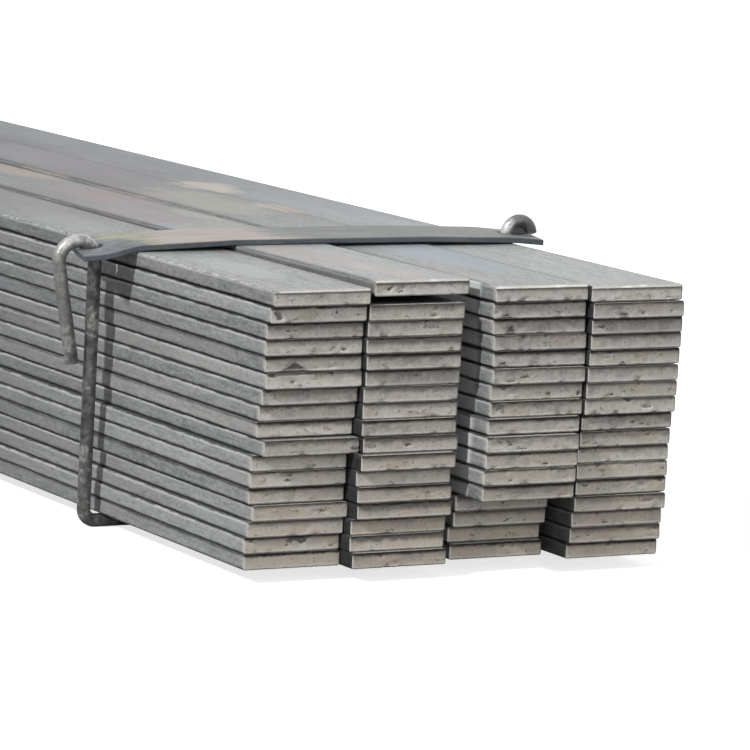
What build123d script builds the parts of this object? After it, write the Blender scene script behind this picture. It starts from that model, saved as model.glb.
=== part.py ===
"""A tied bundle of hot-rolled steel flat bar: four columns of bars, seventeen layers deep.

Frame: +X runs along the bars towards the end whose cuts are stepped back column by column,
+Y runs across the bundle, +Z is up, and the origin is at the middle of the footprint, on the floor.
The bundle lies on the tie rods that pass beneath it.
"""

import os
from math import asin, atan2, cos, degrees, radians, sin, sqrt, tan

from build123d import *

# Bar stock
bar_width = 40.0
bar_thickness = 6.0
bar_length = 3000.0
bar_corner_break = 0.5

# Stacking: layers are dropped on in lifts of four, and each lift settles a little less tightly
layers_per_lift = 4
layer_clearance = 0.2
lift_clearance = 0.45
side_clearance = 0.4
side_play = 10.0

# The third column's bars don't nest quite as closely, so its layers climb past the others
column_looseness = (0, 0, 0.04, 0)

# How far each bar's near end stands out from the common line, top layer first, one row a column
end_steps = (
    (3.5, 1, -1.5, -2, -3, -4, -6, -8.5, -9, -5, -10.5, -10.5, -11.5, -11, -12, -13.5, -14),
    (2, 2, 1, 0.5, 0, -2.5, -2.5, -3.5, -2.5, -3, 0, -3.5, -3, -4.5, -7, -6.5, -5),
    (12, 10, 8, 7.5, 6.5, 7, 5.5, 6, 7.5, 9.5, 9, 9, 7.5, -10, -11, -14, -12),
    (13.5, 13.5, 11, 9, 8.5, 8, 7.5, 7, 5, 4.5, 3.5, 3.5, 3, 3, 1, 0.5, -1.5),
)

# How each layer's side play is shared out: left of it, after columns 1, 2 and 3, right of it
play_shares = (
    (0, 3, 9, 0, 6),
    (0, 0, 13, 1, 4),
    (0, 0, 16, 1, 2),
    (0, 0, 17, 1, 0),
    (1, 0, 17, 0, 0),
    (3, 0, 15, 0, 0),
    (2, 0, 15, 0, 0),
    (3, 0, 15, 0, 0),
    (2, 0, 13, 3, 0),
    (4, 0, 9, 5, 0),
    (0, 0, 13, 5, 0),
    (0, 0, 12, 6, 0),
    (0, 1, 12, 5, 0),
    (3, 0, 8, 7, 0),
    (1, 0, 10, 7, 0),
    (0, 0, 10, 8, 0),
    (1, 0, 9, 8, 0),
)

# The top bar of the second column is bowed: its near end lifts off the layer below
bowed_column = 1
bow_length = 600.0
bow_lift = 2.6

# Ties: a flat strap across the top, and a round rod under the bundle and up through the strap.
# The strap's ends reach past the rod's legs, and its cuts are askew
tie_count = 2
tie_from_end = 130.0
strap_width = 38.0
strap_thickness = 2.3
strap_left_end = 8.1
strap_left_skew = 16.0
strap_left_elbow = 12.4
strap_left_fall = 2.8
strap_left_droop = 3.8
strap_right_end = 13.3
strap_right_skew = 19.3
strap_right_droop = 3.2
strap_seat_clearance = 0.1
strap_shoulder_rise = 0.35
strap_least_crown = 1.0
strap_ease_share = 0.85
strap_bend_radius = 45.0
strap_hole_clearance = 1.7
strap_left_hole_shift = 1.55

# A stand-off is measured from the bundle's side to the middle of the rod
rod_diameter = 5.5
rod_foot_radius = 5.0
rod_lean_along = 5.3
left_foot_stand_off = 6.1
left_leg_stand_off = 9.25
left_hook_drop = 4.8
left_hook_radius = 7.6
left_hook_tail = 40.0
left_tail_lean = 8.6
right_foot_stand_off = 7.0
right_leg_stand_off = 2.05
right_hook_rise = 1.4
right_hook_radius = 5.5

# Worked out from the sizes above
columns = len(end_steps)
layers = len(play_shares)
rod_radius = rod_diameter / 2
bundle_width = columns * bar_width + (columns - 1) * side_clearance + side_play
half_width = bundle_width / 2
bundle_base = rod_diameter


def layer_bottom(layer, column=0):
    """Height of the underside of a layer's bar; layer 0 is the top one."""
    below = layers - 1 - layer
    lifts_below = below // layers_per_lift
    within_lifts = below - lifts_below
    rise = below * bar_thickness + within_lifts * layer_clearance + lifts_below * lift_clearance
    return bundle_base + rise + below * column_looseness[column]


def bar_left_faces(layer):
    """Where the left face of each bar in a layer is, across from the bundle's middle."""
    shares = play_shares[layer]
    unit = side_play / sum(shares)
    faces = []
    face = shares[0] * unit - half_width
    for column in range(columns):
        faces.append(face)
        face += bar_width + side_clearance + shares[column + 1] * unit
    return faces


bundle_top = layer_bottom(0) + bar_thickness
left_leg_offset = -half_width - left_leg_stand_off
right_leg_offset = half_width + right_leg_stand_off
left_reach = left_leg_offset - 2 * left_hook_radius - rod_radius
right_cut_reach = strap_width / 2 * tan(radians(strap_right_skew))
right_reach = right_leg_offset + strap_right_end + right_cut_reach
bundle_middle_y = -(left_reach + right_reach) / 2
furthest_step = max(max(row) for row in end_steps)
deepest_step = min(min(row) for row in end_steps)
near_line = bar_length / 2 - (furthest_step + deepest_step) / 2
bow_radius = (bow_length**2 + bow_lift**2) / (2 * bow_lift)
bow_start_x = near_line + end_steps[bowed_column][0] - bow_length


def bow_rise(x):
    """Height that the bowed bar has gained over the layer below at a place along the bundle."""
    past_start = max(0, x - bow_start_x)
    return bow_radius - sqrt(bow_radius**2 - past_start**2)


def bar_section():
    """Cross-section of the rolled bar, with the slightly broken corners that rolls leave."""
    outline = Rectangle(bar_width, bar_thickness)
    return chamfer(outline.vertices(), bar_corner_break)


def section_plane(x, y_left, z_bottom):
    """Plane across the bars whose origin is the middle of one bar's section."""
    origin = (x, y_left + bar_width / 2, z_bottom + bar_thickness / 2)
    return Plane(origin=origin, x_dir=(0, 1, 0), z_dir=(1, 0, 0))


def straight_bar(near_x, y_left, z_bottom):
    far_plane = section_plane(near_x - bar_length, y_left, z_bottom)
    return extrude(far_plane * bar_section(), amount=bar_length)


def bowed_bar(near_x, y_left, z_bottom):
    """A bar that lies flat for most of its length and then curves gently upwards."""
    far_plane = section_plane(near_x - bar_length, y_left, z_bottom)
    bow_plane = section_plane(near_x - bow_length, y_left, z_bottom)
    bow_centre = bow_plane.origin + Vector(0, 0, bow_radius)
    bow_angle = degrees(asin(bow_length / bow_radius))
    flat_run = extrude(far_plane * bar_section(), amount=bar_length - bow_length)
    bow = revolve(bow_plane * bar_section(), Axis(bow_centre, (0, -1, 0)), bow_angle)
    return flat_run + bow


def layer_of_bars(layer):
    """Four bars side by side, each its own solid, clear of its neighbours."""
    bars = []
    for column, left_face in enumerate(bar_left_faces(layer)):
        near_x = near_line + end_steps[column][layer]
        make_bar = bowed_bar if (layer == 0 and column == bowed_column) else straight_bar
        bars.append(make_bar(near_x, bundle_middle_y + left_face, layer_bottom(layer, column)))
    return Compound(children=bars)


def cross_plane(x):
    """Plane across the bundle: first coordinate along Y from the bundle's middle, second Z."""
    return Plane(origin=(x, bundle_middle_y, 0), x_dir=(0, 1, 0), z_dir=(1, 0, 0))


def rod_plane(x):
    """The cross plane at a strap, leant back about the strap so that the rod's feet fall behind it."""
    lean = radians(rod_lean_along)
    origin = (x - bundle_top * tan(lean), bundle_middle_y, 0)
    return Plane(origin=origin, x_dir=(0, 1, 0), z_dir=(cos(lean), 0, -sin(lean)))


def rod_side(side, foot_start, foot_stand_off, leg_stand_off, hook_z, hook_radius, tail_lean):
    """Foot, leg and hook on one side of the bundle, in the rod's plane; side is -1 left, 1 right."""
    hook_height = hook_z / cos(radians(rod_lean_along))
    lean = degrees(atan2(foot_stand_off - leg_stand_off, hook_height - foot_start[1]))
    foot = JernArc(foot_start, (side, 0), rod_foot_radius, side * (90 + lean))
    leg_length = (hook_height - (foot @ 1).Y) / cos(radians(lean))
    leg = Line(foot @ 1, foot @ 1 + (foot % 1) * leg_length)
    hook = JernArc(leg @ 1, leg % 1, hook_radius, -side * (180 - lean + tail_lean))
    return [foot, leg, hook]


def rod_path(x):
    """The run under the bundle, then each side's foot, leg and hook, and the left hook's long tail."""
    run_height = rod_radius / cos(radians(rod_lean_along))
    left_start = (rod_foot_radius - half_width - left_foot_stand_off, run_height)
    right_start = (half_width + right_foot_stand_off - rod_foot_radius, run_height)
    under_run = Line(left_start, right_start)
    left_side = rod_side(-1, left_start, left_foot_stand_off, left_leg_stand_off,
                         bundle_top - left_hook_drop, left_hook_radius, left_tail_lean)
    right_side = rod_side(1, right_start, right_foot_stand_off, right_leg_stand_off,
                          bundle_top + right_hook_rise, right_hook_radius, 0)
    left_hook = left_side[-1]
    left_tail = Line(left_hook @ 1, left_hook @ 1 + (left_hook % 1) * left_hook_tail)
    runs = [under_run, *left_side, left_tail, *right_side]
    return [(rod_plane(x) * run).edge() for run in runs]


def carried_along(outline, run):
    """Solid that an outline leaves behind as it follows a straight run or a bend."""
    section = Plane(origin=run @ 0, x_dir=(1, 0, 0), z_dir=run % 0) * outline
    if run.geom_type == GeomType.LINE:
        return extrude(section, amount=run.length)
    from_centre = run @ 0 - run.arc_center
    bend_axis = Axis(run.arc_center, from_centre.cross(run % 0))
    return revolve(section, bend_axis, degrees(run.length / run.radius))


def bent_from(outline, runs):
    """One piece of rod or strap, bent to follow all its runs in turn."""
    first_run, *further_runs = runs
    piece = carried_along(outline, first_run)
    for run in further_runs:
        piece += carried_along(outline, run)
    return piece


def tie_rod(x):
    return bent_from(Circle(rod_radius), rod_path(x))


def strap_outline(x):
    """The strap seen from above: its long edges run across the bundle and its ends are cut askew."""
    half = strap_width / 2
    left_end = left_leg_offset - strap_left_end
    right_end = right_leg_offset + strap_right_end
    left_shift = half * tan(radians(strap_left_skew))
    right_shift = half * tan(radians(strap_right_skew))
    corners = [(half, left_end - left_shift), (half, right_end - right_shift),
               (-half, right_end + right_shift), (-half, left_end + left_shift)]
    return Pos(x, bundle_middle_y) * Polygon(*corners, align=None)


def tie_strap(x):
    """Flat strap, crowned over the bowed bar and drooping past both sides of the bundle."""
    seat_rise = max(bow_rise(x + strap_width / 2) + strap_seat_clearance, strap_least_crown)
    top_faces = bar_left_faces(0)
    bowed_face = top_faces[bowed_column]
    flat = bundle_top + strap_thickness / 2
    points = [
        (left_leg_offset - strap_left_end - strap_width / 2, flat - strap_left_droop),
        (-half_width - strap_left_elbow, flat - strap_left_fall),
        (-half_width, flat + strap_shoulder_rise),
        (bowed_face, flat + seat_rise),
        (bowed_face + bar_width, flat + seat_rise),
        (top_faces[-1], flat + seat_rise * strap_ease_share),
        (top_faces[-1] + bar_width, flat + strap_shoulder_rise),
        (right_leg_offset + strap_right_end + strap_width / 2, flat - strap_right_droop),
    ]
    line = cross_plane(x) * FilletPolyline(*points, radius=strap_bend_radius)
    band = bent_from(Rectangle(strap_width, strap_thickness), line.edges())
    strap = band & extrude(strap_outline(x), amount=2 * bundle_top)
    hole_radius = rod_radius + strap_hole_clearance
    for hole_offset in (left_leg_offset - strap_left_hole_shift, right_leg_offset):
        hole_y = bundle_middle_y + hole_offset
        strap -= Pos(x, hole_y, bundle_top) * Cylinder(hole_radius, 4 * strap_thickness)
    return strap


def main():
    os.makedirs("parts", exist_ok=True)
    for layer in range(layers):
        export_step(layer_of_bars(layer), f"parts/layer_{layer + 1:02d}.step")
    first_tie = near_line - tie_from_end
    last_tie = near_line - bar_length + tie_from_end
    for tie in range(tie_count):
        x = first_tie + (last_tie - first_tie) * tie / (tie_count - 1)
        export_step(tie_rod(x), f"parts/tie_rod_{tie + 1}.step")
        export_step(tie_strap(x), f"parts/tie_strap_{tie + 1}.step")


main()
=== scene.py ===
from collections import namedtuple
from math import atan2, cos, pi, radians, sin
from random import Random

import bmesh
import bpy
import numpy as np
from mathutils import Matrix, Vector


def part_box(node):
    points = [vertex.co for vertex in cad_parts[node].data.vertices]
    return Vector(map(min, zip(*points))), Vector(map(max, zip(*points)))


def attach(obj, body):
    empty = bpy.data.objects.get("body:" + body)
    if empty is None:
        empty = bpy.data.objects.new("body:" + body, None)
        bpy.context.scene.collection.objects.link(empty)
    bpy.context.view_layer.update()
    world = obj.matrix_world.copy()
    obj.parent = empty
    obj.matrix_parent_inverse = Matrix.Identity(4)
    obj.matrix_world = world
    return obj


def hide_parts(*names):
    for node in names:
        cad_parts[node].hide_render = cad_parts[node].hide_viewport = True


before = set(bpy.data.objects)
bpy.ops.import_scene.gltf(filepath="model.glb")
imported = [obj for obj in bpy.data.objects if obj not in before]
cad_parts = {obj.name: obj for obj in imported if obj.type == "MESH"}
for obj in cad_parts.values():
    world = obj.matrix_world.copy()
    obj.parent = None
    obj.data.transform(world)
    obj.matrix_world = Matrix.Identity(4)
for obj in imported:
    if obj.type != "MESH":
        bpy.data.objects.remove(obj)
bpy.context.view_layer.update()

# Sizes, in metres
MM = 0.001
CORNER_RADIUS = 0.7 * MM
CUT_DEPTH = 0.4 * MM
DULLED_EDGE = 0.4 * MM
MERGE_DISTANCE = 1e-6
BOW_LENGTH = 600 * MM
BUNDLE_TOP = 111.7 * MM
HALF_WIDTH = 85.6 * MM
ROD_DIAMETER = 5.5 * MM
ROD_FOOT_RADIUS = 5 * MM
ROD_LEAN_ALONG = radians(5.3)
RodSide = namedtuple("RodSide", "side foot_stand_off leg_stand_off hook_z hook_radius tail_lean tail")
LEFT_SIDE = RodSide(-1, 6.1 * MM, 9.25 * MM, BUNDLE_TOP - 4.8 * MM, 7.6 * MM, radians(8.6), 40 * MM)
RIGHT_SIDE = RodSide(1, 7 * MM, 2.05 * MM, BUNDLE_TOP + 1.4 * MM, 5.5 * MM, 0, 0)

# A bar's section and length, in the millimetres that its marks and shading are given in
LENGTH, WIDTH, THICKNESS = 3000, 40, 6
# How far a mark of depth 1 goes in, in millimetres too
TEAR_DEPTH = 0.7

LAYERS = 17
COLUMNS = 4
LIFT_TOPS = (5, 9, 13, 17)
TIES = 2
SEED = 11

# Camera, lamps and floor
CAMERA_PLACE = (3.00827, -0.86418, 0.32549)
CAMERA_TURN = (81.8347, -2.3453, 61.6314)
CAMERA_LENS = 226.8
SENSOR_WIDTH = 36.0
Lamp = namedtuple("Lamp", "name azimuth elevation strength spread")
LAMPS = (
    Lamp("key_lamp", 16, 37, 2.7, 4),
    Lamp("front_lamp", 84, 18, 1.0, 40),
    Lamp("top_lamp", 90, 78, 0.7, 70),
    Lamp("back_lamp", 215, 20, 0.6, 60),
)
SKY_STRENGTH = 0.08
FLOOR_SIZE = 60.0

# Where along the bundle its colours start to fade towards the far end, and where they are unfaded
FADED_AT, UNFADED_AT = 1180 * MM, 1460 * MM

# Marks torn into the near cuts: bar's column and layer, then the mark's middle from the bar's
# left bottom corner, its width and height, all in millimetres, and how deep it goes, 0 to 1.
# A mark whose middle is on an arris is a wedge that narrows away from it
Mark = namedtuple("Mark", "column layer across up width height depth")
TORN_MARKS = [
    Mark(1, 1, 1.6, 5.2, 3.4, 1.8, 0.7),
    Mark(1, 2, 3.4, 3.2, 4.6, 6.4, 0.55),
    Mark(1, 2, 27.6, 3.2, 1.3, 5.2, 0.7),
    Mark(1, 3, 1.6, 6.0, 6.0, 2.2, 0.8),
    Mark(1, 3, 13.0, 6.0, 24.0, 1.6, 0.35),
    Mark(1, 5, 12.4, 0.0, 14.0, 4.2, 1.0),
    Mark(1, 5, 5.0, 5.2, 9.0, 2.0, 0.6),
    Mark(1, 5, 25.0, 2.0, 1.2, 3.6, 0.5),
    Mark(1, 6, 3.0, 5.2, 5.0, 1.9, 0.8),
    Mark(1, 6, 14.0, 6.0, 26.0, 1.5, 0.5),
    Mark(1, 7, 3.0, 6.0, 5.0, 1.8, 0.7),
    Mark(1, 7, 10.0, 3.8, 3.2, 2.6, 0.4),
    Mark(1, 8, 7.0, 6.0, 12.0, 2.2, 0.6),
    Mark(1, 8, 3.0, 3.2, 4.0, 3.0, 0.4),
    Mark(1, 9, 1.8, 5.0, 3.6, 3.0, 0.6),
    Mark(1, 10, 34.5, 3.2, 1.4, 4.6, 0.7),
    Mark(1, 10, 12.0, 6.0, 22.0, 1.4, 0.6),
    Mark(1, 13, 24.0, 4.4, 1.3, 1.3, 0.7),
    Mark(1, 16, 24.0, 6.0, 13.0, 4.0, 0.95),
    Mark(1, 16, 37.0, 1.6, 2.6, 1.4, 0.6),
    Mark(2, 1, 3.4, 3.0, 1.3, 1.8, 0.6),
    Mark(2, 1, 7.4, 3.3, 1.2, 1.4, 0.55),
    Mark(2, 1, 11.6, 3.1, 1.3, 1.3, 0.5),
    Mark(2, 1, 17.0, 3.1, 1.6, 1.5, 0.6),
    Mark(2, 2, 35.0, 4.0, 6.0, 4.4, 0.35),
    Mark(2, 2, 28.0, 4.4, 3.0, 2.6, 0.3),
    Mark(2, 3, 6.4, 0.0, 3.4, 2.8, 0.8),
    Mark(2, 3, 30.0, 2.6, 1.1, 4.6, 0.5),
    Mark(2, 5, 13.0, 6.0, 5.0, 2.6, 0.6),
    Mark(2, 6, 20.0, 6.0, 34.0, 1.4, 0.4),
    Mark(2, 8, 27.0, 4.6, 2.6, 1.6, 0.5),
    Mark(2, 11, 22.0, 3.0, 2.0, 3.4, 0.4),
    Mark(2, 13, 30.0, 2.8, 8.0, 2.0, 0.4),
    Mark(2, 17, 12.0, 4.4, 3.0, 2.2, 0.5),
    Mark(3, 1, 6.0, 0.0, 3.0, 2.2, 0.8),
    Mark(3, 1, 11.6, 0.0, 5.0, 1.4, 0.8),
    Mark(3, 1, 31.0, 0.0, 3.4, 2.0, 0.8),
    Mark(3, 2, 6.0, 0.0, 9.0, 2.4, 0.8),
    Mark(3, 2, 1.2, 2.4, 2.4, 2.0, 0.5),
    Mark(3, 2, 28.0, 1.8, 2.4, 2.2, 0.4),
    Mark(3, 3, 4.0, 6.0, 12.0, 2.0, 0.6),
    Mark(3, 3, 8.0, 0.0, 6.4, 4.6, 0.95),
    Mark(3, 3, 21.0, 0.0, 6.0, 1.6, 0.6),
    Mark(3, 3, 31.0, 0.0, 2.4, 2.4, 0.5),
    Mark(3, 4, 13.0, 6.0, 3.6, 3.6, 0.85),
    Mark(3, 4, 3.0, 5.4, 6.0, 1.4, 0.5),
    Mark(3, 4, 6.0, 0.0, 8.0, 1.0, 0.9),
    Mark(3, 4, 12.0, 0.0, 2.6, 1.6, 0.9),
    Mark(3, 4, 15.4, 0.0, 1.8, 1.4, 0.8),
    Mark(3, 5, 5.0, 5.4, 9.0, 1.6, 0.5),
    Mark(3, 5, 4.6, 0.0, 9.0, 2.6, 0.7),
    Mark(3, 6, 2.0, 0.0, 5.0, 3.0, 0.5),
    Mark(3, 7, 6.0, 6.0, 12.0, 2.6, 0.7),
    Mark(3, 8, 4.0, 3.4, 7.0, 4.0, 0.55),
    Mark(3, 10, 8.0, 3.4, 16.0, 3.4, 0.5),
    Mark(3, 12, 10.0, 6.0, 7.0, 2.4, 0.5),
    Mark(4, 1, 15.0, 5.8, 6.0, 1.0, 0.7),
    Mark(4, 1, 33.0, 0.8, 3.0, 1.6, 0.4),
    Mark(4, 2, 14.0, 0.0, 5.0, 2.4, 0.7),
    Mark(4, 2, 35.0, 2.4, 1.2, 1.2, 0.6),
    Mark(4, 3, 8.0, 1.4, 5.0, 3.0, 0.45),
    Mark(4, 4, 4.0, 5.4, 9.0, 1.2, 0.6),
    Mark(4, 5, 9.0, 5.0, 4.0, 1.8, 0.5),
    Mark(4, 5, 22.0, 5.2, 3.0, 1.4, 0.4),
    Mark(4, 7, 17.0, 2.4, 2.0, 2.6, 0.4),
    Mark(4, 8, 19.0, 6.0, 6.0, 1.8, 0.7),
    Mark(4, 9, 9.0, 0.0, 4.0, 1.6, 0.6),
    Mark(4, 9, 30.0, 5.2, 7.0, 1.6, 0.4),
    Mark(4, 11, 3.0, 4.6, 4.0, 2.2, 0.5),
]

# Weather stains on the bundle's top: middle along and across, length and width, in millimetres,
# then how strong, 0 to 1, and the colour
Stain = namedtuple("Stain", "along across length width strength colour")
STAINS = [
    Stain(1010, 20, 330, 130, 0.75, (0.16, 0.16, 0.17)),
    Stain(1230, -30, 150, 100, 0.4, (0.23, 0.21, 0.21)),
    Stain(1040, 72, 260, 40, 0.45, (0.25, 0.29, 0.34)),
    Stain(1250, 68, 160, 34, 0.4, (0.32, 0.35, 0.42)),
    Stain(1085, 30, 190, 46, 0.75, (0.26, 0.23, 0.26)),
    Stain(1178, 52, 46, 26, 0.9, (0.65, 0.58, 0.5)),
    Stain(1234, 22, 110, 36, 0.7, (0.42, 0.4, 0.33)),
    Stain(1262, 44, 46, 14, 0.8, (0.58, 0.48, 0.38)),
    Stain(1110, -6, 70, 26, 0.9, (0.42, 0.35, 0.28)),
    Stain(1205, -12, 80, 44, 0.7, (0.37, 0.28, 0.28)),
    Stain(1284, -30, 60, 34, 0.6, (0.33, 0.27, 0.27)),
    Stain(1283, -5, 36, 14, 0.8, (0.43, 0.42, 0.36)),
    Stain(1335, -22, 50, 30, 0.5, (0.3, 0.32, 0.26)),
    Stain(1420, -26, 90, 26, 0.5, (0.39, 0.33, 0.32)),
    Stain(1475, -20, 50, 20, 0.45, (0.42, 0.36, 0.34)),
    Stain(1420, 30, 110, 34, 0.55, (0.3, 0.36, 0.42)),
    Stain(1290, -66, 70, 26, 0.45, (0.33, 0.33, 0.35)),
    Stain(1440, -66, 60, 20, 0.45, (0.44, 0.46, 0.46)),
]


# Node trees

def geometry_tree(name, sizes):
    """A Geometry Nodes tree with a geometry input and named sizes: the tree, its geometry and its sizes."""
    tree = bpy.data.node_groups.new(name, "GeometryNodeTree")
    tree.interface.new_socket("Geometry", in_out="OUTPUT", socket_type="NodeSocketGeometry")
    tree.interface.new_socket("Geometry", in_out="INPUT", socket_type="NodeSocketGeometry")
    for size in sizes:
        tree.interface.new_socket(size, in_out="INPUT", socket_type="NodeSocketFloat")
    group = add(tree, "NodeGroupInput")
    fields = {s.name: Field(tree, s) for s in group.outputs if s.name}
    return tree, group.outputs["Geometry"], fields


def socket_of(sockets, key):
    """The socket with that number, or the one in use with that name."""
    if isinstance(key, int):
        return sockets[key]
    return next(s for s in sockets if s.name == key and s.enabled)


def feed(tree, target, value):
    """Links a node or field to a socket, or sets the socket's own value."""
    if isinstance(value, Field):
        value = value.socket
    if isinstance(value, bpy.types.Node):
        value = next(s for s in value.outputs if s.enabled)
    if isinstance(value, bpy.types.NodeSocket):
        tree.links.new(value, target)
    else:
        target.default_value = value


def add(tree, kind, inputs=None, **settings):
    """A new node with its settings made and its inputs fed."""
    made = tree.nodes.new(kind)
    for name, value in settings.items():
        setattr(made, name, value)
    for key, value in (inputs or {}).items():
        feed(tree, socket_of(made.inputs, key), value)
    return made


class Field:
    """A value that flows through a node tree. Arithmetic on it adds the nodes that work it out."""

    def __init__(self, tree, socket):
        self.tree = tree
        self.socket = socket

    def calc(self, operation, *others):
        inputs = dict(enumerate((self, *others)))
        made = add(self.tree, "ShaderNodeMath", inputs, operation=operation)
        return Field(self.tree, made.outputs[0])

    def __add__(self, other):
        return self.calc("ADD", other)

    def __sub__(self, other):
        return self.calc("SUBTRACT", other)

    def __mul__(self, other):
        return self.calc("MULTIPLY", other)

    def __truediv__(self, other):
        return self.calc("DIVIDE", other)

    def __abs__(self):
        return self.calc("ABSOLUTE")

    def inverse(self):
        """One minus the value."""
        return self * -1 + 1

    def ramp(self, low, high, start=0.0, end=1.0, smooth=False):
        """The value carried from low..high to start..end, and held at the ends."""
        inputs = {"Value": self, "From Min": low, "From Max": high, "To Min": start, "To Max": end}
        kind = "SMOOTHSTEP" if smooth else "LINEAR"
        made = add(self.tree, "ShaderNodeMapRange", inputs, interpolation_type=kind)
        return Field(self.tree, made.outputs["Result"])


def parts_of(tree, vector):
    """The three coordinates of a vector as fields."""
    made = add(tree, "ShaderNodeSeparateXYZ", {0: vector})
    return [Field(tree, output) for output in made.outputs]


def vector_of(tree, x, y, z):
    made = add(tree, "ShaderNodeCombineXYZ", {0: x, 1: y, 2: z})
    return Field(tree, made.outputs[0])


def scaled(tree, vector, scale):
    """A vector with each coordinate multiplied by its own number."""
    made = add(tree, "ShaderNodeVectorMath", {0: vector, 1: scale}, operation="MULTIPLY")
    return Field(tree, made.outputs[0])


def noise(tree, vector, scale=1.0, detail=2.0, roughness=0.5):
    inputs = {"Vector": vector, "Scale": scale, "Detail": detail, "Roughness": roughness}
    made = add(tree, "ShaderNodeTexNoise", inputs)
    return Field(tree, made.outputs[0])


def named(tree, name, kind="FLOAT"):
    """A stored attribute, in a geometry tree."""
    made = add(tree, "GeometryNodeInputNamedAttribute", {"Name": name}, data_type=kind)
    return Field(tree, socket_of(made.outputs, "Attribute"))


def painted(tree, name, output="Fac"):
    """A stored attribute, in a material."""
    made = add(tree, "ShaderNodeAttribute", attribute_name=name)
    return Field(tree, made.outputs[output])


def colour_mix(tree, factor, first, second, mode="MIX"):
    made = add(tree, "ShaderNodeMix", data_type="RGBA", blend_type=mode)
    feed(tree, socket_of(made.inputs, "Factor"), factor)
    feed(tree, socket_of(made.inputs, "A"), first)
    feed(tree, socket_of(made.inputs, "B"), second)
    return Field(tree, socket_of(made.outputs, "Result"))


def rgb(red, green, blue):
    return (red, green, blue, 1.0)


# Objects and solids

def new_object(name, data):
    """An object in the scene."""
    made = bpy.data.objects.new(name, data)
    bpy.context.scene.collection.objects.link(made)
    return made


def solid_of(node):
    """A CAD node's mesh with its doubled corners merged."""
    merged = bmesh.new()
    merged.from_mesh(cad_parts[node].data)
    bmesh.ops.remove_doubles(merged, verts=merged.verts, dist=MERGE_DISTANCE)
    return merged


def dulled_piece(name, solid, material):
    """An object made of a solid whose sharp edges are dulled."""
    sharp = [edge for edge in solid.edges if edge.calc_face_angle(0) > radians(40)]
    bmesh.ops.bevel(solid, geom=sharp, offset=DULLED_EDGE, segments=2, affect="EDGES", profile=0.5)
    bmesh.ops.triangulate(solid, faces=solid.faces)
    mesh = bpy.data.meshes.new(name)
    solid.to_mesh(mesh)
    solid.free()
    mesh.materials.append(material)
    return new_object(name, mesh)


# Materials

def new_material(name):
    material = bpy.data.materials.new(name)
    material.use_nodes = True
    tree = material.node_tree
    return material, tree, tree.nodes["Principled BSDF"]


def object_place(tree):
    return Field(tree, add(tree, "ShaderNodeTexCoord").outputs["Object"])


def bump(tree, shader, height, distance, strength=1.0):
    inputs = {"Height": height, "Distance": distance, "Strength": strength}
    feed(tree, shader.inputs["Normal"], add(tree, "ShaderNodeBump", inputs))


def distance_from(coordinate, face):
    """How far inside a face a coordinate in metres lies, in millimetres."""
    return coordinate * (-1 / MM) + face


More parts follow.
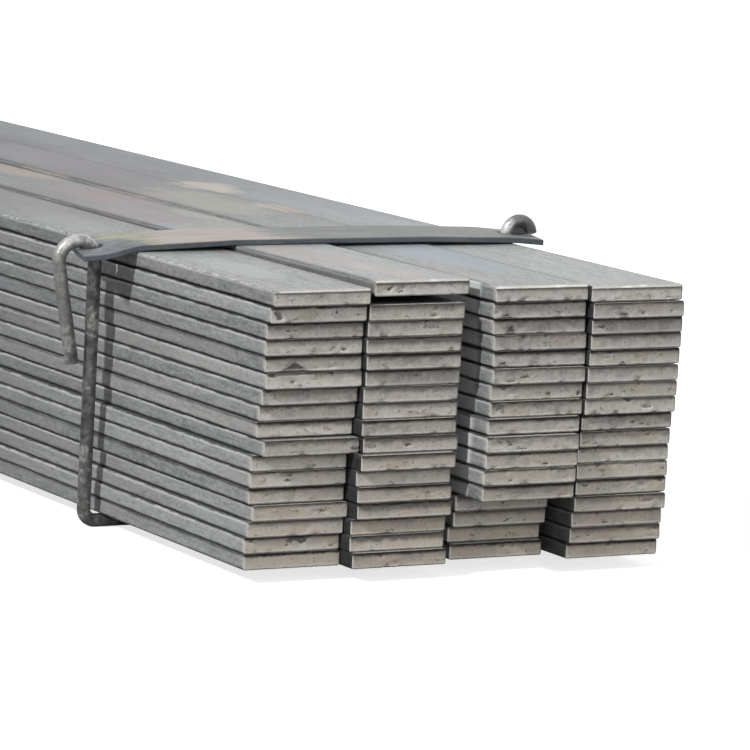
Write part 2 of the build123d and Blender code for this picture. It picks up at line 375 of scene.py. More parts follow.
def rolled_steel():
    """Grey mill scale, stained on top and worn pale on the arrises, with painted highlights along the
    arrises, painted shade in the grooves and seams between bars, and a painted light on part of the third
    column's left side.
    """
    material, tree, shader = new_material("rolled_steel")
    place = object_place(tree)
    tone = painted(tree, "tone")
    seed = painted(tree, "bar_seed")
    edge = painted(tree, "edge")
    covered = painted(tree, "covered")
    under_lift = painted(tree, "under_lift")
    x, y, z = parts_of(tree, place)
    along, across, up = parts_of(tree, painted(tree, "section", "Vector"))
    from_top = distance_from(up, THICKNESS / 2)
    from_bottom = distance_from(up * -1, THICKNESS / 2)
    from_side = distance_from(abs(across), WIDTH / 2)
    from_end = distance_from(abs(along), LENGTH / 2)
    left = across.ramp(-0.001, 0.001, 1, 0)
    # Painted shade on a side that faces a neighbouring bar, left or right
    painted_side_shade = left * painted(tree, "left_painted_shade") + left.inverse() * painted(tree, "right_painted_shade")
    neighbour = left * painted(tree, "left_neighbour") + left.inverse()

    shifted = vector_of(tree, x + seed * 3.7, y, z)
    streaks = noise(tree, scaled(tree, shifted, (14, 900, 900)), detail=3)
    dashes = noise(tree, scaled(tree, shifted, (90, 700, 700)), detail=3, roughness=0.6)
    grain = noise(tree, scaled(tree, shifted, (420, 900, 900)), detail=3, roughness=0.65)
    patches = noise(tree, scaled(tree, shifted, (9, 30, 60)), detail=4, roughness=0.6)
    hue = noise(tree, scaled(tree, shifted, (6, 45, 70)), detail=3)
    value = (streaks - 0.5) * 0.4 + (dashes - 0.5) * 1.0 + (grain - 0.5) * 1.5 + (patches - 0.5) * 0.9
    value = value + tone * 0.2 + 0.5
    base = colour_mix(tree, value, rgb(0.145, 0.157, 0.155), rgb(0.42, 0.432, 0.422))
    base = colour_mix(tree, hue.ramp(0.53, 0.64, 0, 0.3, smooth=True), base, rgb(0.34, 0.295, 0.29))
    base = colour_mix(tree, hue.ramp(0.36, 0.46, 0.25, 0, smooth=True), base, rgb(0.25, 0.285, 0.30))

    on_top = z.ramp(BUNDLE_TOP - 1.2 * MM, BUNDLE_TOP - 0.6 * MM)
    warp = noise(tree, scaled(tree, place, (45, 90, 1)), detail=4, roughness=0.6)
    stained = on_top * x.ramp(FADED_AT, UNFADED_AT, 0.8, 0, smooth=True)
    for stain in STAINS:
        forward = (x - stain.along * MM) / (stain.length * MM / 2)
        sideways = (y - stain.across * MM) / (stain.width * MM / 2)
        reach = forward * forward + sideways * sideways + (warp - 0.5) * 2.4
        shown = reach.ramp(0.2, 1.5, stain.strength, 0, smooth=True) * on_top
        base = colour_mix(tree, shown, base, rgb(*stain.colour))
        stained = stained.calc("MAXIMUM", shown)

    on_side = from_side.ramp(0.2, 0.6, 1, 0)
    ragged = (dashes - 0.5) * 1.1
    far_off = x.ramp(FADED_AT, UNFADED_AT, 0.52, 0, smooth=True) * covered.ramp(0, 1, 0.85, 1)
    base = colour_mix(tree, far_off, base, rgb(0.12, 0.125, 0.13))
    # A painted light on the third column's left side, 10 to 60 mm behind the cut, in the slot beside the
    # second column
    painted_slot_light = from_end.ramp(10, 13) * from_end.ramp(35, 60, 1, 0) * left * painted(tree, "left_painted_light")
    base = colour_mix(tree, painted_slot_light * on_side * 0.75, base, rgb(0.74, 0.76, 0.75))
    # Arrises worn pale, partly painted highlights, where no bar lies alongside or near the cut
    rubbed_and_highlight = edge * (dashes + grain).ramp(0.9, 1.15, 0.1, 0.75, smooth=True)
    rubbed_and_highlight = rubbed_and_highlight * (neighbour.inverse() + from_end.ramp(0.5, 6, 1, 0)).calc("MINIMUM", 1)
    base = colour_mix(tree, rubbed_and_highlight, base, rgb(0.55, 0.56, 0.55))
    # A painted highlight along the top of each bar's side, under its upper arris
    painted_top_highlight = (from_top + ragged).ramp(0.45, 0.7) * (from_top + ragged).ramp(0.9, 1.5, 1, 0) * on_side
    painted_top_highlight = painted_top_highlight * streaks.ramp(0.38, 0.62, 0.2, 0.75)
    base = colour_mix(tree, painted_top_highlight, base, rgb(0.60, 0.61, 0.60))
    burr = from_end.ramp(0.6, 2.8, 0.75, 0, smooth=True) * grain.ramp(0.35, 0.6, 0.4, 1)
    base = colour_mix(tree, burr, base, rgb(0.50, 0.465, 0.42))

    # Painted shade in the grooves: under each bar's side, over it where a bar lies on top, and wider under a
    # lift
    low_groove = (from_bottom + ragged * 0.7).ramp(0.35, 1.15, 1, 0, smooth=True)
    high_groove = (from_top + ragged).ramp(0.15, 0.6, 1, 0, smooth=True) * covered
    lift_groove = (from_top + ragged).ramp(0.5, 1.6, 1, 0, smooth=True) * under_lift
    groove = low_groove.calc("MAXIMUM", high_groove).calc("MAXIMUM", lift_groove)
    groove = groove * from_side.ramp(0.7, 1.2, 1, 0)
    # Painted shade in the seams between columns on top
    seam = (from_side + ragged).ramp(0.4, 3.6, 0.38, 0, smooth=True)
    seam = seam.calc("MAXIMUM", (from_side + ragged * 0.6).ramp(0.4, 1.1, 0.75, 0))
    seam = seam * on_side.inverse() * neighbour * from_end.ramp(0.5, 12)
    # Painted shade on the top of a bar where the next bar lies on it
    inner_top = covered * from_top.ramp(0.02, 0.1, 0.85, 0) * from_end.ramp(0.5, 6)
    groove = groove * x.ramp(1050 * MM, 1400 * MM, 0.65, 0.95) * (painted(tree, "shade_line_strength") * 0.4 + 0.6)
    # All the painted shade together, near black, with less sheen there
    dark = groove.calc("MAXIMUM", seam).calc("MAXIMUM", on_side * painted_side_shade).calc("MAXIMUM", inner_top)
    base = colour_mix(tree, dark * 0.93, base, rgb(0.02, 0.02, 0.022))
    feed(tree, shader.inputs["Base Color"], base)
    feed(tree, shader.inputs["Specular IOR Level"], dark.calc("MAXIMUM", stained).ramp(0, 1, 0.45, 0.05))
    feed(tree, shader.inputs["Roughness"], patches.ramp(0.3, 0.7, 0.45, 0.6))
    shader.inputs["Metallic"].default_value = 0.1
    bump(tree, shader, grain * 0.6 + dashes * 0.4 + streaks * 0.6, 0.0002, 0.7)
    return material


def cut_steel():
    """Sheared end: pale metal with a dark band along the top, bright burrs partly painted as highlights,
    painted shade in the gaps between bars, torn hollows and oily tints.
    """
    material, tree, shader = new_material("cut_steel")
    tone = painted(tree, "tone")
    seed = painted(tree, "bar_seed")
    torn = painted(tree, "torn")
    covered = painted(tree, "covered")
    under_lift = painted(tree, "under_lift")
    shade_depth = painted(tree, "shade_depth")
    shade_strength = painted(tree, "shade_strength")
    _, across, up = parts_of(tree, painted(tree, "section", "Vector"))
    from_top = distance_from(up, THICKNESS / 2)
    from_bottom = distance_from(up * -1, THICKNESS / 2)
    from_left = distance_from(across * -1, WIDTH / 2)
    from_right = distance_from(across, WIDTH / 2)
    place = vector_of(tree, seed * 1.3, across, up)
    cloud = noise(tree, scaled(tree, place, (1, 70, 120)), detail=3)
    mottle = noise(tree, scaled(tree, place, (1, 260, 420)), detail=4, roughness=0.6)
    drag = noise(tree, scaled(tree, place, (1, 900, 120)), detail=3)
    ragged = noise(tree, scaled(tree, place, (1, 800, 1000)), detail=4, roughness=0.7)
    waver = noise(tree, scaled(tree, place, (1, 150, 0)), detail=4, roughness=0.65)
    value = (mottle - 0.5) * 1.2 + (drag - 0.5) * 0.35 + (cloud - 0.5) * 0.9 + tone * 0.18
    value = value + from_top.ramp(0.8, 5.2, 0.24, 0.84) + covered.inverse() * 0.2
    base = colour_mix(tree, value, rgb(0.22, 0.208, 0.19), rgb(0.72, 0.69, 0.65))
    olive = colour_mix(tree, painted(tree, "hue"), rgb(0.33, 0.30, 0.21), rgb(0.36, 0.31, 0.28))
    base = colour_mix(tree, (cloud * 0.6 + mottle * 0.4).ramp(0.50, 0.62, 0, 0.65, smooth=True), base, olive)

    _, _, height = parts_of(tree, object_place(tree))
    warm_low_down = height.ramp(10 * MM, 75 * MM, 0.65, 0) * cloud.ramp(0.35, 0.55, 0.4, 1)
    base = colour_mix(tree, warm_low_down, base, rgb(0.46, 0.385, 0.305))
    edge_of_shade = from_top - shade_depth * (waver * 1.6 + 0.2) + (mottle - 0.5) * 1.2
    shade = edge_of_shade.ramp(-1.1, 1.1, 1, 0, smooth=True) * shade_strength
    base = colour_mix(tree, shade, base, rgb(0.095, 0.088, 0.078))
    stain = (mottle * 0.45 + ragged * 0.55).ramp(0.55, 0.635, 0, 0.65, smooth=True)
    base = colour_mix(tree, stain, base, rgb(0.10, 0.09, 0.085))
    hollow = (torn * 1.3 + (ragged - 0.5) * 1.8 + (mottle - 0.5) * 2.6).ramp(0.25, 0.9, smooth=True)
    hollow = hollow * torn.ramp(0.02, 0.25)
    base = colour_mix(tree, hollow * 0.88, base, rgb(0.06, 0.052, 0.052))

    wobble = (ragged - 0.5) * 0.8
    # A pale burr along the bottom edge, and a painted highlight along the left arris, which faces the key
    # lamp
    pale_lip_and_highlight = (from_bottom + wobble).ramp(0.35, 0.6) * (from_bottom + wobble).ramp(0.7, 1.3, 0.5, 0)
    pale_lip_and_highlight = pale_lip_and_highlight.calc("MAXIMUM", (from_left + wobble).ramp(0.4, 0.9, 0.85, 0))
    base = colour_mix(tree, pale_lip_and_highlight, base, rgb(0.72, 0.70, 0.66))
    rolled_line = (from_top + wobble * 0.6).ramp(0.85, 1.05) * (from_top + wobble).ramp(1.3, 2.1, 0.9, 0)
    base = colour_mix(tree, rolled_line * covered.inverse(), base, rgb(0.09, 0.085, 0.08))
    # A bright burr along the top arris of a topmost cut, partly a painted highlight where the light from
    # above catches it
    top_burr_and_highlight = (from_top + wobble * 0.5).ramp(0.85, 1.05, 0.95, 0) * covered.inverse()
    base = colour_mix(tree, top_burr_and_highlight, base, rgb(0.86, 0.84, 0.80))
    uneven = wobble + (waver - 0.5) * 1.8
    # Painted shade: dark lines along the top of a cut under another bar, wider under a lift, and along its
    # bottom and right edges
    painted_gap_shade = (from_top + uneven).ramp(0.55, 1.25, 1, 0) * covered * painted(tree, "shade_line_strength")
    painted_gap_shade = painted_gap_shade.calc("MAXIMUM", (from_top + uneven).ramp(0.7, 1.6, 1, 0) * under_lift)
    painted_gap_shade = painted_gap_shade.calc("MAXIMUM", (from_bottom + wobble * 0.5).ramp(0.15, 0.45, 0.9, 0))
    painted_gap_shade = painted_gap_shade.calc("MAXIMUM", (from_right + wobble * 0.5).ramp(0.15, 0.5, 0.8, 0))
    base = colour_mix(tree, painted_gap_shade * 0.94, base, rgb(0.018, 0.017, 0.017))
    feed(tree, shader.inputs["Base Color"], base)
    feed(tree, shader.inputs["Specular IOR Level"], painted_gap_shade.ramp(0, 1, 0.5, 0.1))
    feed(tree, shader.inputs["Roughness"], mottle.ramp(0.3, 0.7, 0.45, 0.7))
    shader.inputs["Metallic"].default_value = 0.1
    bump(tree, shader, ragged * 0.7 + drag * 0.3 + mottle * 0.6, 0.0003, 0.7)
    return material


def strap_steel():
    """Flat strap: scale weathered to tan at one end and olive beside it, slate edges, and painted shade on
    the end that bends down.
    """
    material, tree, shader = new_material("strap_steel")
    place = object_place(tree)
    _, y, _ = parts_of(tree, place)
    facing = add(tree, "ShaderNodeNewGeometry")
    _, _, facing_up = parts_of(tree, facing.outputs["Normal"])
    drawn = noise(tree, scaled(tree, place, (500, 30, 500)), detail=3)
    patches = noise(tree, scaled(tree, place, (90, 45, 90)), detail=4, roughness=0.6)
    fine = noise(tree, scaled(tree, place, (900, 500, 900)), detail=3, roughness=0.6)
    value = (drawn - 0.5) * 0.8 + (patches - 0.5) * 1.2 + (fine - 0.5) * 0.8 + 0.5
    reach = y + (patches - 0.5) * 0.05
    grey = colour_mix(tree, value, rgb(0.078, 0.088, 0.085), rgb(0.180, 0.190, 0.183))
    tan = colour_mix(tree, value, rgb(0.249, 0.208, 0.188), rgb(0.43, 0.385, 0.367))
    top = colour_mix(tree, reach.ramp(-0.030, -0.005, smooth=True), tan, grey)
    olive = colour_mix(tree, value, rgb(0.13, 0.14, 0.10), rgb(0.38, 0.385, 0.27))
    top = colour_mix(tree, reach.ramp(-0.080, -0.062, 1, 0, smooth=True), top, olive)
    # Painted shade on the end that bends down and turns away from the light
    painted_droop_shade = colour_mix(tree, value, rgb(0.06, 0.07, 0.085), rgb(0.22, 0.235, 0.25))
    top = colour_mix(tree, reach.ramp(-0.088, -0.076, 1, 0, smooth=True), top, painted_droop_shade)
    slate = colour_mix(tree, value, rgb(0.05, 0.058, 0.068), rgb(0.14, 0.15, 0.165))
    base = colour_mix(tree, facing_up.ramp(0.3, 0.8), slate, top)
    feed(tree, shader.inputs["Base Color"], base)
    shader.inputs["Specular IOR Level"].default_value = 0.3
    shader.inputs["Roughness"].default_value = 0.55
    shader.inputs["Metallic"].default_value = 0.2
    bump(tree, shader, drawn * 0.5 + patches + fine * 0.4, 0.0004, 0.6)
    return material


def rod_steel():
    """Round tie rod: dark mottled scale, worn bright in spots, with painted highlights on those spots and on
    the hooks' tops, and painted shade inside the short hook.
    """
    material, tree, shader = new_material("rod_steel")
    place = object_place(tree)
    mottle = noise(tree, place, scale=330, detail=4, roughness=0.65)
    broad = noise(tree, place, scale=70, detail=2)
    value = (mottle - 0.5) * 1.6 + (broad - 0.5) * 0.8 + 0.45
    base = colour_mix(tree, value, rgb(0.035, 0.035, 0.037), rgb(0.28, 0.275, 0.265))
    # Spots worn bright, partly painted highlights
    rubbed_and_highlight = (mottle * 0.6 + broad * 0.4).ramp(0.54, 0.62, 0, 0.6, smooth=True)
    base = colour_mix(tree, rubbed_and_highlight, base, rgb(0.42, 0.42, 0.41))
    _, sideways, height = parts_of(tree, place)
    # Hook tops worn bright where they were bent, partly painted highlights where they catch the light from
    # above
    hook_wear_and_highlight = height.ramp(BUNDLE_TOP - 3 * MM, BUNDLE_TOP + 3 * MM) * mottle.ramp(0.42, 0.58, 0.35, 0.75)
    base = colour_mix(tree, hook_wear_and_highlight, base, rgb(0.50, 0.50, 0.49))
    tail = sideways.ramp(-106 * MM, -100 * MM, 0.42, 0)
    base = colour_mix(tree, tail, base, rgb(0.42, 0.42, 0.41))
    # A painted highlight on the short hook's top
    short_hook_highlight = sideways.ramp(0, 10 * MM) * height.ramp(BUNDLE_TOP, BUNDLE_TOP + 3 * MM)
    base = colour_mix(tree, short_hook_highlight * mottle.ramp(0.38, 0.55, 0.45, 0.9), base, rgb(0.66, 0.65, 0.645))
    in_shade = sideways.ramp(87.5 * MM, 93 * MM, 0, 0.85) * height.ramp(BUNDLE_TOP - 3 * MM, BUNDLE_TOP)
    base = colour_mix(tree, in_shade, base, rgb(0.06, 0.056, 0.055))
    feed(tree, shader.inputs["Base Color"], base)
    feed(tree, shader.inputs["Roughness"], mottle.ramp(0.3, 0.7, 0.3, 0.5))
    shader.inputs["Metallic"].default_value = 0.45
    bump(tree, shader, mottle + broad * 0.5, 0.0005, 0.7)
    return material


# Flat bars

Bar = namedtuple("Bar", "low high lift")


def bars_of(node):
    """Each bar of a layer's CAD node, from left to right: its box as it lies flat, and its end's lift."""
    merged = solid_of(node)
    left_to_visit = set(merged.verts)
    bars = []
    while left_to_visit:
        queue = [left_to_visit.pop()]
        corners = []
        while queue:
            vertex = queue.pop()
            corners.append(vertex.co.copy())
            for edge in vertex.link_edges:
                neighbour = edge.other_vert(vertex)
                if neighbour in left_to_visit:
                    left_to_visit.remove(neighbour)
                    queue.append(neighbour)
        places = np.array(corners)
        low, high = places.min(0), places.max(0)
        far_top = places[places[:, 0] < low[0] + MM, 2].max()
        bars.append(Bar(Vector(low), Vector((high[0], high[1], far_top)), high[2] - far_top))
    merged.free()
    return sorted(bars, key=lambda bar: bar.low.y)


def flat_bar_tree(rolled, cut):
    """Geometry Nodes: a bar with rounded arrises and sheared ends, placed at every point."""
    sizes = ("Length", "Width", "Thickness", "Corner Radius", "Bow Length", "Cut Depth")
    tree, points, size = geometry_tree("flat_bars", sizes)
    length, width, thickness = size["Length"], size["Width"], size["Thickness"]
    radius = size["Corner Radius"]

    rings_along, steps_across, steps_up = 10, 20, 6
    flat_across, flat_up = 18 / 20, 4 / 6
    counts = [2 * steps + 1 for steps in (rings_along, steps_across, steps_up)]
    grid = add(tree, "GeometryNodeMeshCube", {
        "Size": (1, 1, 1), "Vertices X": counts[0], "Vertices Y": counts[1], "Vertices Z": counts[2]})
    along, across, up = parts_of(tree, add(tree, "GeometryNodeInputPosition"))

    def spread(coordinate, whole, flat_share):
        """A side's grid steps: even over the flat, then two over the rounded corner."""
        share = abs(coordinate) * 2
        flat = share.ramp(0, flat_share) * (whole / 2 - radius)
        corner = share.ramp(flat_share, 1) * radius
        return flat, corner

    flat_y, corner_y = spread(across, width, flat_across)
    flat_z, corner_z = spread(up, thickness, flat_up)
    reach = (corner_y * corner_y + corner_z * corner_z).calc("SQRT")
    roundness = corner_y.calc("MAXIMUM", corner_z) / reach
    is_cut = abs(along).calc("GREATER_THAN", 0.499)
    trim = is_cut * (0.12 * MM)
    y = across.calc("SIGN") * (flat_y + corner_y * roundness - trim * corner_y.calc("GREATER_THAN", 0))
    z = up.calc("SIGN") * (flat_z + corner_z * roundness - trim * corner_z.calc("GREATER_THAN", 0))
    crowding = (abs(along) * -2 + 1).calc("POWER", 5)
    x = along.calc("SIGN") * crowding.inverse() * length / 2
    shaped = add(tree, "GeometryNodeSetPosition", {"Geometry": grid, "Position": vector_of(tree, x, y, z)})

    def store(geometry, name, value, kind="FLOAT"):
        inputs = {"Geometry": geometry, "Name": name}
        made = add(tree, "GeometryNodeStoreNamedAttribute", inputs, data_type=kind)
        feed(tree, socket_of(made.inputs, "Value"), value)
        return made

    px, py, pz = parts_of(tree, add(tree, "GeometryNodeInputPosition"))
    cut_side = px.calc("SIGN") * abs(px).calc("GREATER_THAN", length / 2 - 0.00001)
    bar = store(shaped, "cut", cut_side)
    bar = store(bar, "near_cut", px.calc("SIGN") * (abs(px) - length / 2).ramp(-3 * MM, -1 * MM))
    corner = (abs(py) - (width / 2 - radius)).calc("MINIMUM", abs(pz) - (thickness / 2 - radius))
    bar = store(bar, "edge", (corner / (radius * 0.29)).ramp(0, 1))
    bar = store(bar, "section", vector_of(tree, px, py, pz), "FLOAT_VECTOR")

    placed = add(tree, "GeometryNodeInstanceOnPoints", {"Points": points, "Instance": bar})
    bars = add(tree, "GeometryNodeRealizeInstances", {"Geometry": placed})

    seed = named(tree, "bar_seed")
    blade = named(tree, "blade_side")
    from_middle, side, height = parts_of(tree, named(tree, "section", "FLOAT_VECTOR"))
    half_height = height / (thickness / 2)
    half_side = side / (width / 2)
    grain_place = vector_of(tree, seed * 1.7 + from_middle.calc("SIGN") * 5, side, height)
    grain = noise(tree, scaled(tree, grain_place, (1, 420, 420)), detail=3, roughness=0.6)
    waver = noise(tree, scaled(tree, grain_place, (1, 110, 0)), detail=3, roughness=0.6)
    blade_up = half_height * blade
    band_line = named(tree, "band") + (waver - 0.5) * 1.3
    fracture = (blade_up - band_line).ramp(-0.12, 0.12, smooth=True)
    roll_over = blade_up.ramp(-0.72, -1.0) * waver
    slant = half_side * named(tree, "skew") + half_height * named(tree, "lean") + 0.75
    depth = fracture * (grain * 0.55 + 0.15) + roll_over * 0.55 + slant + (grain - 0.5) * 0.12
    offset = named(tree, "near_cut") * depth.calc("MAXIMUM", 0) * size["Cut Depth"] * -1
    rise_share = ((from_middle - length / 2 + size["Bow Length"]) / size["Bow Length"]).calc("MAXIMUM", 0)
    rise = named(tree, "lift") * rise_share * rise_share
    moved = vector_of(tree, offset, 0, rise)
    bars = add(tree, "GeometryNodeSetPosition", {"Geometry": bars, "Offset": moved})
    bars = add(tree, "GeometryNodeSetShadeSmooth", {"Geometry": bars})
    bars = add(tree, "GeometryNodeSetMaterial", {"Geometry": bars, "Material": rolled})
    on_cut = abs(named(tree, "cut")).calc("GREATER_THAN", 0.9)
    bars = add(tree, "GeometryNodeSetMaterial", {"Geometry": bars, "Selection": on_cut, "Material": cut})
    add(tree, "NodeGroupOutput", {"Geometry": bars})
    return tree


def mesh_of_points(name, points, attributes):
    """A mesh of loose points, each with its own numbers."""
    mesh = bpy.data.meshes.new(name)
    mesh.from_pydata(points, [], [])
    for key, values in attributes.items():
        mesh.attributes.new(key, "FLOAT", "POINT").data.foreach_set("value", values)
    return mesh


def grown(name, mesh, tree, sizes):
    """An object whose mesh is what a Geometry Nodes tree makes of another mesh."""
    piece = new_object(name, mesh)
    modifier = piece.modifiers.new("nodes", "NODES")
    modifier.node_group = tree
    identifiers = {s.name: s.identifier for s in tree.interface.items_tree if s.in_out == "INPUT"}
    for key, value in sizes.items():
        modifier[identifiers[key]] = value
    bpy.context.view_layer.update()
    evaluated = piece.evaluated_get(bpy.context.evaluated_depsgraph_get())
    result = bpy.data.meshes.new_from_object(evaluated)
    piece.modifiers.clear()
    piece.data = result
    result.name = name
    return piece


def small_mark(column, layer, rng):
    """A small mark anywhere across a cut, on one of its arrises or between them."""
    across = rng.uniform(1, WIDTH - 1)
    up = rng.choice((0, THICKNESS, rng.uniform(1, 5)))
    return Mark(column, layer, across, up, rng.uniform(1, 7), rng.uniform(0.8, 2.4), rng.uniform(0.3, 0.75))


def press_marks(piece, layer, bars, rng):
    """Tears the named marks, and a few small ones, into a layer's near cuts."""
    mesh = piece.data
    places = np.empty(len(mesh.vertices) * 3, np.float32)
    mesh.vertices.foreach_get("co", places)
    places = places.reshape(-1, 3)
    cut = np.empty(len(mesh.vertices), np.float32)
    mesh.attributes["near_cut"].data.foreach_get("value", cut)
    torn = np.zeros(len(mesh.vertices), np.float32)
    for column, bar in enumerate(bars, start=1):
        marks = [mark for mark in TORN_MARKS if (mark.column, mark.layer) == (column, layer)]
        for end in (1, -1):
            small = [small_mark(column, layer, rng) for _ in range(rng.randint(3, 7))]
            in_bar = (places[:, 1] > bar.low.y - MM / 10) & (places[:, 1] < bar.high.y + MM / 10)
            on_cut = in_bar & (cut * end > 0.5)
            for mark in small + (marks if end > 0 else []):
                across = (places[:, 1] - bar.low.y) / MM - mark.across
                up = (places[:, 2] - bar.low.z - (bar.lift if end > 0 else 0)) / MM - mark.up
                if mark.up in (0, THICKNESS):
                    nearness = 2.8 - np.abs(across * 5.6 / mark.width) - np.abs(up * 2.8 / mark.height)
                else:
                    nearness = 1 - (across * 2 / mark.width) ** 2 - (up * 2 / mark.height) ** 2
                pressed = np.where(on_cut, np.clip(nearness, 0, 1) * mark.depth, 0)
                torn = np.maximum(torn, pressed)
    places[:, 0] -= cut * torn * TEAR_DEPTH * MM
    mesh.vertices.foreach_set("co", places.ravel())
    mesh.attributes.new("torn", "FLOAT", "POINT").data.foreach_set("value", torn)
    mesh.update()


def flat_bars(rolled, cut):
    """Every layer's bars, one piece a layer."""
    tree = flat_bar_tree(rolled, cut)
    rng = Random(SEED)
    for layer in range(1, LAYERS + 1):
        node = f"layer_{layer:02d}"
        bars = bars_of(node)
        middles = [(bar.low + bar.high) / 2 for bar in bars]
        first = bars[0].high - bars[0].low
        column_tones = (-0.6 if layer == 1 else 0.3, -0.2, -0.3, -0.1)
        mesh = mesh_of_points(node + "_bars", middles, {
            "bar_seed": [rng.uniform(0, 50) for _ in bars],
            "tone": [rng.uniform(-1.2, 0.7) + lighter for lighter in column_tones],
            "lift": [bar.lift for bar in bars],
            "blade_side": [1 if rng.random() < 0.8 else -1 for _ in bars],
            "band": [rng.uniform(0.45, 1.15) for _ in bars],
            "skew": [rng.uniform(-0.5, 0.5) for _ in bars],
            "lean": [rng.uniform(-0.25, 0.25) for _ in bars],
            "hue": [rng.random() for _ in bars],
            "shade_depth": [rng.uniform(0.4, 2.6) for _ in bars],
            "shade_strength": [rng.uniform(0.45, 1) for _ in bars],
            "covered": [1 if layer > 1 else 0] * COLUMNS,
            "under_lift": [1 if layer in LIFT_TOPS else 0] * COLUMNS,
            "left_neighbour": [0, 1, 1, 1],
            # Painted shade on a bar's side that faces a neighbour, left and right, and how strong its
            # painted shade lines are
            "left_painted_shade": [0, 0.4 if layer == 1 else 1, 0, 0.6 if layer > 13 else 1],
            # A painted light on the third column's left side
            "left_painted_light": [0, 0, 1, 0],
            "shade_line_strength": [rng.uniform(0.45, 1) for _ in bars],
            "right_painted_shade": [1, 0, 1, 0],
        })
        piece = grown(node + "_bars", mesh, tree, {
            "Length": first.x,
            "Width": first.y,
            "Thickness": first.z,
            "Corner Radius": CORNER_RADIUS,
            "Bow Length": BOW_LENGTH,
            "Cut Depth": CUT_DEPTH,
        })
        press_marks(piece, layer, bars, rng)
        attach(piece, "root")
        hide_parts(node)


# Ties

class BentLine:
    """Points along a rod as it is bent in one plane: first coordinate across, second up."""

    def __init__(self, start, heading):
        self.heading = heading
        self.points = [Vector(start)]

    def straight(self, length, step=4 * MM):
        start = self.points[-1].copy()
        direction = Vector((cos(self.heading), sin(self.heading)))
        count = max(1, round(length / step))
        self.points += [start + direction * length * (i + 1) / count for i in range(count)]

    def bend(self, radius, angle, count=16):
        """Turns to the left by a positive angle, to the right by a negative one."""
        side = 1 if angle > 0 else -1
        to_middle = Vector((-sin(self.heading), cos(self.heading))) * radius * side
        middle = self.points[-1] + to_middle
        for i in range(1, count + 1):
            turned = self.heading + angle * i / count
            self.points.append(middle - Vector((-sin(turned), cos(turned))) * radius * side)
        self.heading += angle


def half_of_rod(turns, hook_height, run_height):
    """Half of the under-run, then one side's foot, leg, hook and tail, in the rod's plane."""
    side = turns.side
    foot_across = HALF_WIDTH + turns.foot_stand_off - ROD_FOOT_RADIUS
    lean = atan2(turns.foot_stand_off - turns.leg_stand_off, hook_height - run_height)
    line = BentLine((0, run_height), 0 if side > 0 else pi)
    line.straight(foot_across)
    line.bend(ROD_FOOT_RADIUS, side * (pi / 2 + lean))
    line.straight((hook_height - line.points[-1].y) / cos(lean))
    line.bend(turns.hook_radius, -side * (pi - lean + turns.tail_lean))
    if turns.tail:
        line.straight(turns.tail)
    return line.points


def rod_line(node, strap_node):
    """The tie rod's middle line from tip to tip, in its plane, which leans back about the strap."""
    low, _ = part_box(node)
    strap_low, strap_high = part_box(strap_node)
    upright = cos(ROD_LEAN_ALONG)
    run_height = ROD_DIAMETER / 2 / upright
    sides = (LEFT_SIDE, RIGHT_SIDE)
    left, right = [half_of_rod(turns, turns.hook_z / upright, run_height) for turns in sides]
    outline = left[::-1] + right[1:]
    furthest_left = min(point.x for point in outline)
    middle_y = low.y + ROD_DIAMETER / 2 - furthest_left
    lean = sin(ROD_LEAN_ALONG)
    foot_x = (strap_low.x + strap_high.x) / 2 - BUNDLE_TOP * lean / upright
    return [(foot_x + point.y * lean, middle_y + point.x, point.y * upright) for point in outline]


def rod_tree(material):
    """Geometry Nodes: a round rod along a line of points, scaly and not quite true."""
    tree, points, size = geometry_tree("tie_rod", ("Diameter", "Scale Depth", "Step"))
    line = add(tree, "GeometryNodeMeshToCurve", {0: points})
    line = add(tree, "GeometryNodeResampleCurve", {"Curve": line}, mode="LENGTH")
    feed(tree, socket_of(line.inputs, "Length"), size["Step"])
    circle = add(tree, "GeometryNodeCurvePrimitiveCircle", {"Resolution": 28})
    feed(tree, socket_of(circle.inputs, "Radius"), size["Diameter"] / 2)
    rod = add(tree, "GeometryNodeCurveToMesh", {"Curve": line, "Profile Curve": circle, "Fill Caps": True})
    place = add(tree, "GeometryNodeInputPosition")
    dents = noise(tree, place, scale=170, detail=3)
    out = add(tree, "ShaderNodeVectorMath", {0: add(tree, "GeometryNodeInputNormal")}, operation="SCALE")
    feed(tree, socket_of(out.inputs, "Scale"), (dents - 0.85) * size["Scale Depth"])
    rod = add(tree, "GeometryNodeSetPosition", {"Geometry": rod, "Offset": out})
    rod = add(tree, "GeometryNodeSetShadeSmooth", {"Geometry": rod})
    rod = add(tree, "GeometryNodeRealizeInstances", {"Geometry": rod})
    rod = add(tree, "GeometryNodeSetMaterial", {"Geometry": rod, "Material": material})
    add(tree, "NodeGroupOutput", {"Geometry": rod})
    return tree


def tie_rods(material):
    tree = rod_tree(material)
    for number in range(1, TIES + 1):
        node = f"tie_rod_{number}"
        points = rod_line(node, f"tie_strap_{number}")
        mesh = bpy.data.meshes.new(node)
        mesh.from_pydata(points, [(i, i + 1) for i in range(len(points) - 1)], [])
        sizes = {"Diameter": ROD_DIAMETER, "Scale Depth": 0.25 * MM, "Step": 0.8 * MM}
        piece = grown(f"bent_rod_{number}", mesh, tree, sizes)
        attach(piece, "root")
        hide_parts(node)


def tie_straps(material):
    """The straps, with their edges dulled."""
    for number in range(1, TIES + 1):
        node = f"tie_strap_{number}"
        strap = solid_of(node)
        bmesh.ops.dissolve_limit(strap, angle_limit=radians(0.5), verts=strap.verts, edges=strap.edges)
        piece = dulled_piece(f"flat_strap_{number}", strap, material)
        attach(piece, "root")
        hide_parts(node)


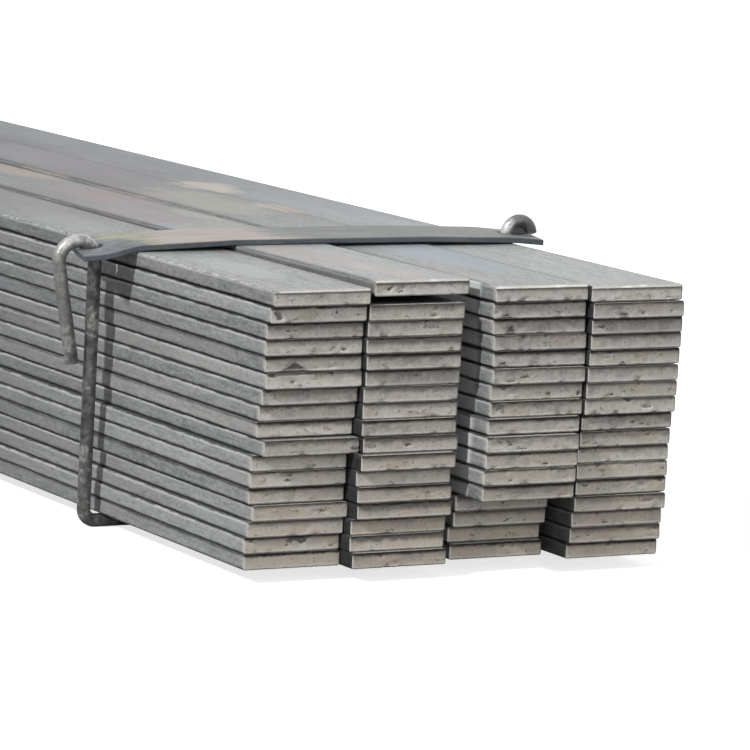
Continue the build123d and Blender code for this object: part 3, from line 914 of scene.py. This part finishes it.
def hook_shade_pieces(material):
    """A dark piece of strap metal under each rod's right hook, where it goes through the strap, shaped as if
    pushed up from the hole: it stands in for the shade in the hook's opening.
    """
    radius = RIGHT_SIDE.hook_radius - ROD_DIAMETER / 2 + 0.3 * MM
    half_thick = 1.5 * MM
    steps = 14
    middle_to_peak = Vector((sin(ROD_LEAN_ALONG), 0, cos(ROD_LEAN_ALONG))) * RIGHT_SIDE.hook_radius
    arch = [(cos(pi * i / steps) * radius, sin(pi * i / steps) * radius) for i in range(steps + 1)]
    for number in range(1, TIES + 1):
        line = rod_line(f"tie_rod_{number}", f"tie_strap_{number}")
        peak = max((point for point in line if point[1] > 0), key=lambda point: point[2])
        middle = Vector(peak) - middle_to_peak
        shade_piece_mesh = bmesh.new()
        back, front = [[shade_piece_mesh.verts.new(middle + Vector((x, y, z))) for y, z in arch]
                       for x in (-half_thick, half_thick)]
        shade_piece_mesh.faces.new(back)
        shade_piece_mesh.faces.new(front[::-1])
        for i in range(-1, len(arch) - 1):
            shade_piece_mesh.faces.new((back[i], back[i + 1], front[i + 1], front[i]))
        bmesh.ops.recalc_face_normals(shade_piece_mesh, faces=shade_piece_mesh.faces)
        piece = dulled_piece(f"hook_shade_piece_{number}", shade_piece_mesh, material)
        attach(piece, "root")


# Stage

def floor():
    """A pale floor that the camera sees as white, with the bundle's shadow left on it."""
    half = FLOOR_SIZE / 2
    mesh = bpy.data.meshes.new("floor")
    corners = [(-half, -half, 0), (half, -half, 0), (half, half, 0), (-half, half, 0)]
    mesh.from_pydata(corners, [], [(0, 1, 2, 3)])
    material, tree, shader = new_material("floor")
    shader.inputs["Base Color"].default_value = rgb(0.3, 0.3, 0.3)
    shader.inputs["Roughness"].default_value = 0.9
    shader.inputs["Specular IOR Level"].default_value = 0.0
    light_path = add(tree, "ShaderNodeLightPath")
    glow = add(tree, "ShaderNodeEmission", {"Color": rgb(1, 1, 1), "Strength": 0.75})
    white = add(tree, "ShaderNodeBsdfDiffuse", {"Color": rgb(0.6, 0.6, 0.6)})
    seen = add(tree, "ShaderNodeAddShader", {0: glow, 1: white})
    either = add(tree, "ShaderNodeMixShader", {0: light_path.outputs["Is Camera Ray"], 1: shader, 2: seen})
    feed(tree, tree.nodes["Material Output"].inputs["Surface"], either)
    mesh.materials.append(material)
    new_object("floor", mesh)


def lamp(name, azimuth, elevation, strength, spread):
    """A broad lamp far off, at an azimuth from the bundle's right side and a height above the floor."""
    data = bpy.data.lights.new(name, "SUN")
    data.energy = strength
    data.angle = radians(spread)
    light = new_object(name, data)
    a, e = radians(azimuth), radians(elevation)
    towards = Vector((sin(a) * cos(e), -cos(a) * cos(e), sin(e)))
    light.rotation_euler = towards.to_track_quat("Z", "Y").to_euler()
    light.location = towards * 5


def sky():
    """Even light from all round, which the camera and mirror-like paths see as white."""
    world = bpy.data.worlds.new("sky")
    world.use_nodes = True
    bpy.context.scene.world = world
    tree = world.node_tree
    light_path = add(tree, "ShaderNodeLightPath")
    direct = Field(tree, light_path.outputs["Is Camera Ray"])
    direct = direct.calc("MAXIMUM", light_path.outputs["Is Glossy Ray"])
    direct = direct.calc("MAXIMUM", light_path.outputs["Is Transmission Ray"])
    background = tree.nodes["Background"]
    background.inputs["Color"].default_value = rgb(1, 1, 1)
    feed(tree, background.inputs["Strength"], direct.ramp(0, 1, SKY_STRENGTH, 1))


def camera():
    data = bpy.data.cameras.new("camera")
    data.lens = CAMERA_LENS
    data.sensor_width = SENSOR_WIDTH
    data.clip_end = 200
    seen_from = new_object("camera", data)
    seen_from.location = CAMERA_PLACE
    seen_from.rotation_euler = [radians(angle) for angle in CAMERA_TURN]
    bpy.context.scene.camera = seen_from


def main():
    bpy.context.scene.view_settings.view_transform = "Standard"
    camera()
    floor()
    sky()
    for each in LAMPS:
        lamp(*each)
    flat_bars(rolled_steel(), cut_steel())
    tie_rods(rod_steel())
    strap = strap_steel()
    tie_straps(strap)
    hook_shade_pieces(strap)


main()
